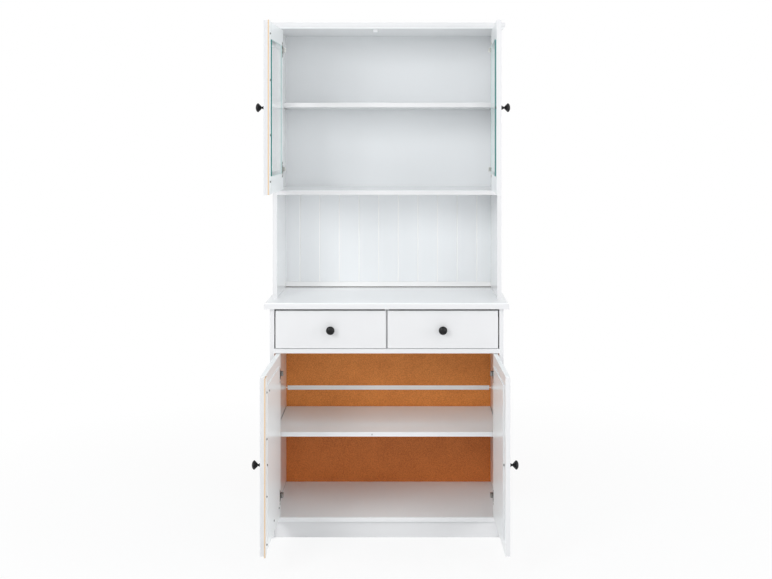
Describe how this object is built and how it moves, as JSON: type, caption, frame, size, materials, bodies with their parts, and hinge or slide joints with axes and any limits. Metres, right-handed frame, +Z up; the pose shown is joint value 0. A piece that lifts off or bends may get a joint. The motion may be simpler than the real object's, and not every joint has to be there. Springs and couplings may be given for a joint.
{
  "type": "hutch cupboard",
  "caption": "Two-part hutch cupboard: glass-door cabinet over an open niche, on a base with drawers over panel doors, all on concealed hinges",
  "frame": {"origin": "Centre of the overall bounding box in plan, on the floor, with the four doors standing open as in the picture", "axes": "+Z up, +X to the right and +Y to the back as seen from the front"},
  "size_m": [0.8362, 0.7872, 1.772],
  "materials": {
    "white_board": "satin white foil and lacquer on fibreboard",
    "white_strip": "satin white faces with raw tan edges",
    "hardboard": "smooth brown hardboard",
    "drawer_box": "pale foil on drawer boards and runners",
    "knob_black": "high gloss black",
    "nickel_steel": "nickel plated pressed steel",
    "pin_steel": "zinc plated pin",
    "white_plastic": "white moulded plastic",
    "glass": "clear float glass with a green edge"
  },
  "bodies": {
    "carcass": {"base_back_joint_strip": "white_plastic", "base_back_lower": "hardboard", "base_back_upper": "hardboard", "base_bottom_panel": "white_board", "base_plinth": "white_board", "base_shelf": "white_board", "base_side_left": "white_board", "base_side_right": "white_board", "countertop": "white_board", "drawer_deck": "white_board", "drawer_partition": "white_board", "drawer_runners": "drawer_box", "hinge_arms": "nickel_steel", "hinge_clamp_screws": "nickel_steel", "hinge_plates": "nickel_steel", "hutch_back_beadboard": "white_board", "hutch_back_rail": "white_board", "hutch_back_upper": "white_board", "hutch_fixed_shelf": "white_board", "hutch_shelf": "white_board", "hutch_side_left": "white_board", "hutch_side_right": "white_board", "hutch_top_board": "white_board", "lower_door_pad": "white_plastic", "shelf_pins": "pin_steel", "upper_door_catch": "white_plastic"},
    "lower_left_door": {"lower_left_door_knob": "knob_black", "lower_left_door_lap_strip": "white_strip", "lower_left_door_panel": "white_board", "lower_left_door_rails": "white_board", "lower_left_door_stiles": "white_board", "lower_left_hinge_cups": "nickel_steel"},
    "lower_right_door": {"lower_right_door_knob": "knob_black", "lower_right_door_panel": "white_board", "lower_right_door_rails": "white_board", "lower_right_door_stiles": "white_board", "lower_right_hinge_cups": "nickel_steel"},
    "upper_left_door": {"upper_left_door_glass": "glass", "upper_left_door_knob": "knob_black", "upper_left_door_lap_strip": "white_strip", "upper_left_door_rails": "white_board", "upper_left_door_stiles": "white_board", "upper_left_door_strike": "nickel_steel", "upper_left_hinge_cups": "nickel_steel"},
    "upper_right_door": {"upper_right_door_glass": "glass", "upper_right_door_knob": "knob_black", "upper_right_door_rails": "white_board", "upper_right_door_stiles": "white_board", "upper_right_hinge_cups": "nickel_steel"},
    "left_drawer": {"left_drawer_back": "drawer_box", "left_drawer_bottom": "drawer_box", "left_drawer_front": "white_board", "left_drawer_knob": "knob_black", "left_drawer_sides": "drawer_box"},
    "right_drawer": {"right_drawer_back": "drawer_box", "right_drawer_bottom": "drawer_box", "right_drawer_front": "white_board", "right_drawer_knob": "knob_black", "right_drawer_sides": "drawer_box"}
  },
  "joints": [
    {"name": "lower_left_door_hinge", "type": "hinge", "parent": "carcass", "child": "lower_left_door", "pos_m": [-0.373, -0.00396, 0.3527], "axis": [0, 0, 1], "range_deg": [-3.8, 91.2]},
    {"name": "lower_right_door_hinge", "type": "hinge", "parent": "carcass", "child": "lower_right_door", "pos_m": [0.373, -0.00396, 0.3527], "axis": [0, 0, 1], "range_deg": [-91.4, 3.6]},
    {"name": "upper_left_door_hinge", "type": "hinge", "parent": "carcass", "child": "upper_left_door", "pos_m": [-0.373, 0.07904, 1.4684], "axis": [0, 0, 1], "range_deg": [-4, 91]},
    {"name": "upper_right_door_hinge", "type": "hinge", "parent": "carcass", "child": "upper_right_door", "pos_m": [0.373, 0.07904, 1.4684], "axis": [0, 0, 1], "range_deg": [-88.2, 6.8]},
    {"name": "left_drawer_slide", "type": "slide", "parent": "carcass", "child": "left_drawer", "axis": [0, -1, 0], "range_m": [0, 0.26]},
    {"name": "right_drawer_slide", "type": "slide", "parent": "carcass", "child": "right_drawer", "axis": [0, -1, 0], "range_m": [0, 0.26]}
  ]
}
